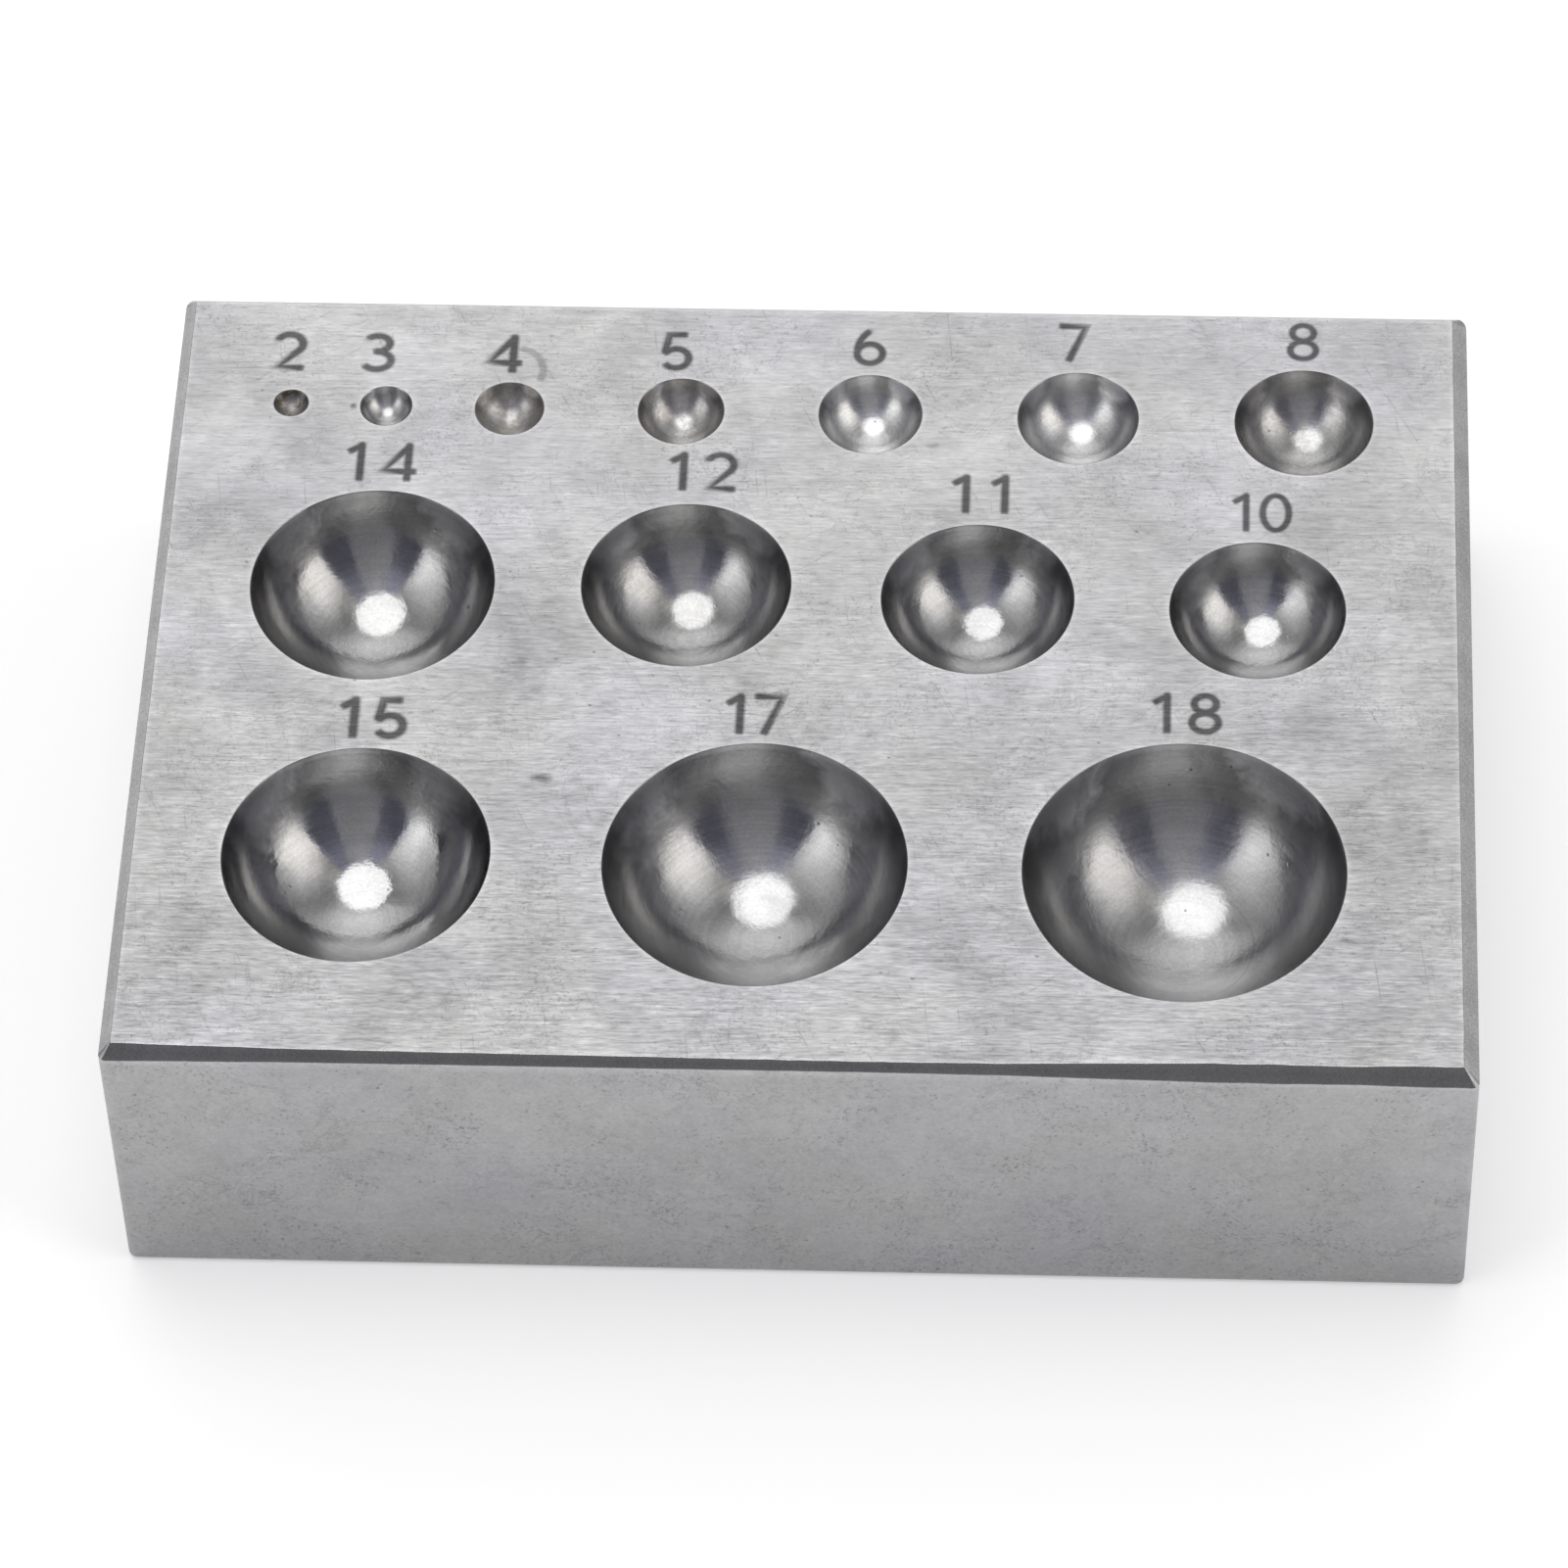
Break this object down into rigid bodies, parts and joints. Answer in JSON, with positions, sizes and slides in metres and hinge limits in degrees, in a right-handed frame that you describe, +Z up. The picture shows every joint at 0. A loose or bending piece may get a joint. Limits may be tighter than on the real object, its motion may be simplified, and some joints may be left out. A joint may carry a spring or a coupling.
{
  "type": "dapping block",
  "caption": "Solid rectangular steel forming block with rows of graded round-bottomed pockets in its top face, for doming sheet metal with ball punches.",
  "frame": {"origin": "centre of the flat bottom face, which lies on z = 0", "axes": "+Z up, out of the pockets' mouths; +Y to the back, where the row of smallest pockets is; +X to the right, along the rows"},
  "size_m": [0.0756, 0.0554, 0.02],
  "materials": {
    "ground_steel": "bare steel: ground top and sides, polished pockets"
  },
  "bodies": {
    "root": {"block": "ground_steel"}
  },
  "joints": []
}
